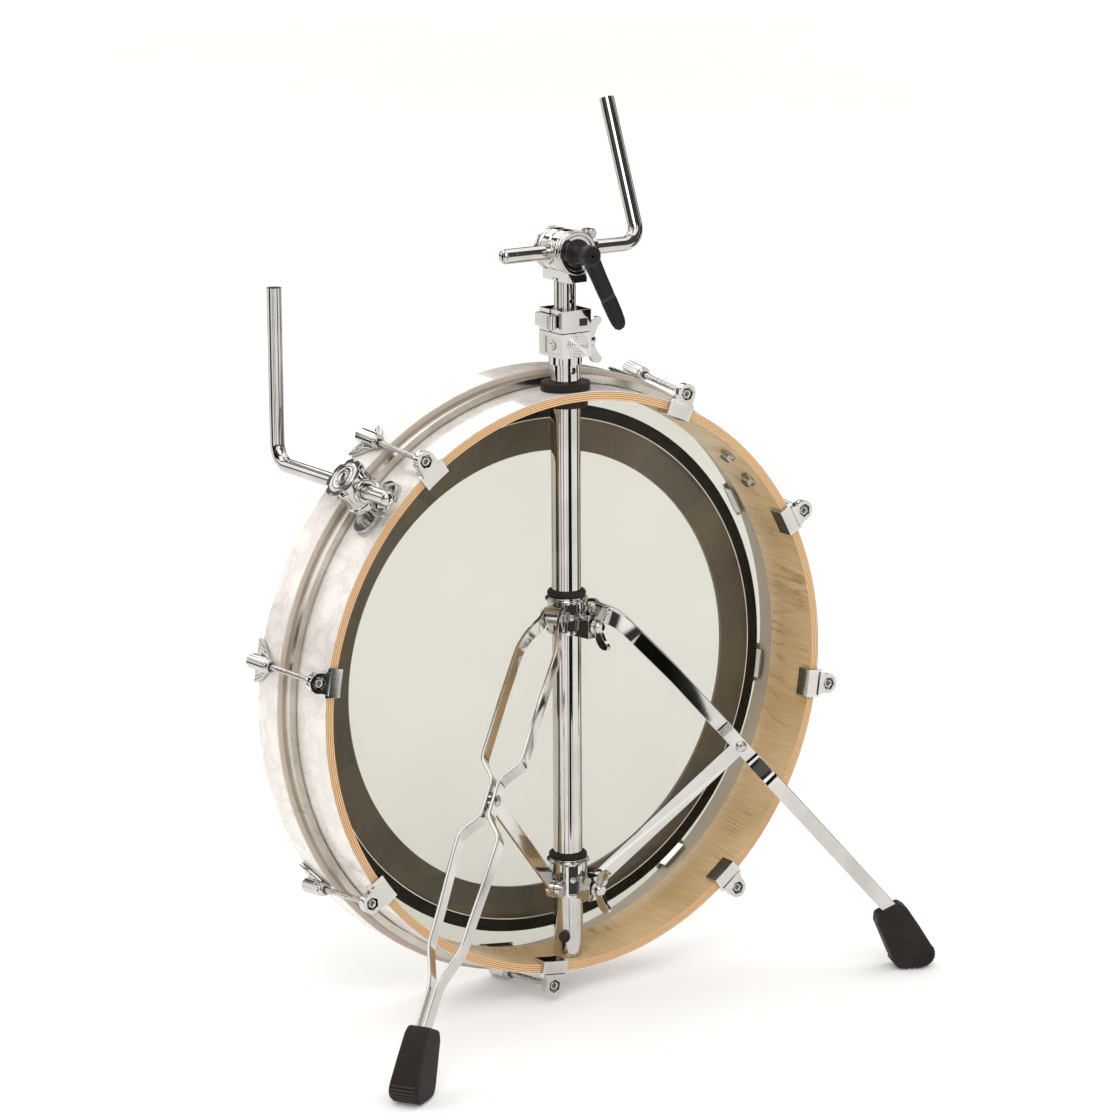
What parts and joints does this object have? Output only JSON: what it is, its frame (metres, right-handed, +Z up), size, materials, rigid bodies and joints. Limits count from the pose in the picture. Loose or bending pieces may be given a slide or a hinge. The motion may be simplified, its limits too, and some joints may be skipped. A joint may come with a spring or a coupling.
{
  "type": "bass drum",
  "caption": "Shallow bass drum in white pearl on a chrome centre column, with a folding leg base, a post clamp with a bent arm on top and a second bent arm in a side bracket.",
  "frame": {"origin": "floor level, in the middle of the object's width and depth", "axes": "+Z up; the drum's axis along Y, open side facing -Y and beaten head facing +Y; +X to the right seen from the open side"},
  "size_m": [0.5952, 0.3184, 0.7727],
  "materials": {
    "chrome": "polished chrome plate",
    "steel": "plated steel fasteners",
    "black_steel": "black oxide screws",
    "maple": "clear lacquered maple ply",
    "pearl": "white marine pearl covering",
    "film": "clear film head",
    "flesh_aluminium": "satin extruded hoop",
    "black_plastic": "moulded black",
    "damping": "dark damping ring",
    "lever_black": "fine textured black",
    "rubber": "moulded rubber"
  },
  "bodies": {
    "drum": {"shell": "maple", "shell_wrap": "pearl", "batter_head_film": "film", "flesh_hoop": "flesh_aluminium", "batter_hoop": "maple", "batter_hoop_wrap": "pearl", "damping_retainer": "black_plastic", "damping_ring": "damping", "shell_claws": "chrome", "hoop_claws": "chrome", "tension_rods": "steel", "column_tube": "chrome", "column_gasket_outer": "rubber", "column_gasket_inner": "rubber", "column_plug": "black_plastic", "column_screws": "black_steel", "clamp_body": "chrome", "clamp_cap": "chrome", "clamp_gate": "chrome", "clamp_hinge_pin": "steel", "side_flange": "chrome", "side_gasket": "rubber", "side_clamp": "chrome", "side_cap": "chrome", "side_screws": "steel", "spare_bolts": "steel"},
    "clamp_wing": {"clamp_wing_bolt": "chrome"},
    "side_wing": {"side_wing_bolt": "chrome"},
    "post_glide": {"post_glide": "black_plastic"},
    "post": {"tom_post": "chrome", "post_head": "chrome"},
    "tilter": {"tilt_drum": "chrome"},
    "lever": {"clamp_bolt": "steel", "lever_handle": "lever_black", "lever_screw": "steel", "lever_washer": "black_plastic"},
    "top_arm": {"top_arm": "chrome", "arm_lock": "chrome", "arm_lock_screw": "steel"},
    "side_arm": {"side_arm": "chrome"},
    "leg_collar": {"leg_collar": "chrome", "leg_collar_bush": "rubber", "leg_collar_pins": "steel"},
    "leg_wing": {"leg_wing_bolt": "chrome"},
    "left_leg": {"left_leg_bars": "chrome", "left_knee_pin": "steel", "left_boot": "rubber"},
    "right_leg": {"right_leg_bars": "chrome", "right_knee_pin": "steel", "right_boot": "rubber"},
    "left_strut": {"left_strut": "chrome"},
    "right_strut": {"right_strut": "chrome"},
    "strut_collar": {"strut_collar": "chrome", "strut_collar_bush": "rubber", "strut_collar_pins": "steel"},
    "strut_wing": {"strut_wing_bolt": "chrome"}
  },
  "joints": [
    {"name": "base_height", "type": "slide", "parent": "drum", "child": "leg_collar", "axis": [0, 0, 1], "range_m": [0, 0.03]},
    {"name": "left_leg_fold", "type": "hinge", "parent": "leg_collar", "child": "left_leg", "pos_m": [-0.03135, 0.01413, 0.3406], "axis": [-0.5299, 0.848, 0], "range_deg": [-6, 6]},
    {"name": "right_leg_fold", "type": "hinge", "parent": "leg_collar", "child": "right_leg", "pos_m": [0.01109, 0.01747, 0.3406], "axis": [-0.3907, -0.9205, 0], "range_deg": [-6.2, 6.2]},
    {"name": "left_strut_fold", "type": "hinge", "parent": "left_leg", "child": "left_strut", "pos_m": [-0.14075, -0.05423, 0.2116], "axis": [0.5299, -0.848, 0], "range_deg": [-13.2, 13.2]},
    {"name": "right_strut_fold", "type": "hinge", "parent": "right_leg", "child": "right_strut", "pos_m": [0.12984, -0.03293, 0.2116], "axis": [0.3907, 0.9205, 0], "range_deg": [-13.2, 13.2]},
    {"name": "strut_collar_slide", "type": "slide", "parent": "leg_collar", "child": "strut_collar", "axis": [0, 0, 1], "range_m": [-0.03, 0.03]},
    {"name": "leg_wing_turn", "type": "hinge", "parent": "leg_collar", "child": "leg_wing", "pos_m": [-0.00451, -0.00244, 0.3316], "axis": [0.2164, -0.9763, 0], "range_deg": [-360, 0]},
    {"name": "strut_wing_turn", "type": "hinge", "parent": "strut_collar", "child": "strut_wing", "pos_m": [-0.00451, -0.00244, 0.0976], "axis": [0.2164, -0.9763, 0], "range_deg": [-360, 0]},
    {"name": "clamp_wing_turn", "type": "hinge", "parent": "drum", "child": "clamp_wing", "pos_m": [0.01, 0.02685, 0.5726], "axis": [1, 0, 0], "range_deg": [-360, 0]},
    {"name": "post_height", "type": "slide", "parent": "drum", "child": "post_glide", "axis": [0, 0, 1], "range_m": [-0.015, 0.05]},
    {"name": "post_swivel", "type": "hinge", "parent": "post_glide", "child": "post", "pos_m": [-0.011, 0.02685, 0.5786], "axis": [0, 0, 1], "continuous": true},
    {"name": "arm_tilt", "type": "hinge", "parent": "post", "child": "tilter", "pos_m": [-0.011, 0.02685, 0.6516], "axis": [0, 1, 0], "range_deg": [-25, 25]},
    {"name": "lever_turn", "type": "hinge", "parent": "post", "child": "lever", "pos_m": [-0.011, -0.00315, 0.6516], "axis": [0, -1, 0], "range_deg": [0, 150]},
    {"name": "top_arm_turn", "type": "hinge", "parent": "tilter", "child": "top_arm", "pos_m": [-0.011, 0.02685, 0.6516], "axis": [1, 0, 0], "range_deg": [-70, 110]},
    {"name": "side_arm_turn", "type": "hinge", "parent": "drum", "child": "side_arm", "pos_m": [-0.22051, 0.02685, 0.47329], "axis": [0, 1, 0], "range_deg": [-90, 90]},
    {"name": "side_wing_turn", "type": "hinge", "parent": "drum", "child": "side_wing", "pos_m": [-0.20747, 0.00485, 0.46117], "axis": [0, -1, 0], "range_deg": [-360, 0]}
  ],
  "couplings": [
    {"joint": "right_leg_fold", "follows": "left_leg_fold", "ratio": 1},
    {"joint": "left_strut_fold", "follows": "left_leg_fold", "ratio": 2.1416},
    {"joint": "right_strut_fold", "follows": "left_leg_fold", "ratio": 2.1416},
    {"joint": "strut_collar_slide", "follows": "left_leg_fold", "m_per_rad": 0.274}
  ]
}
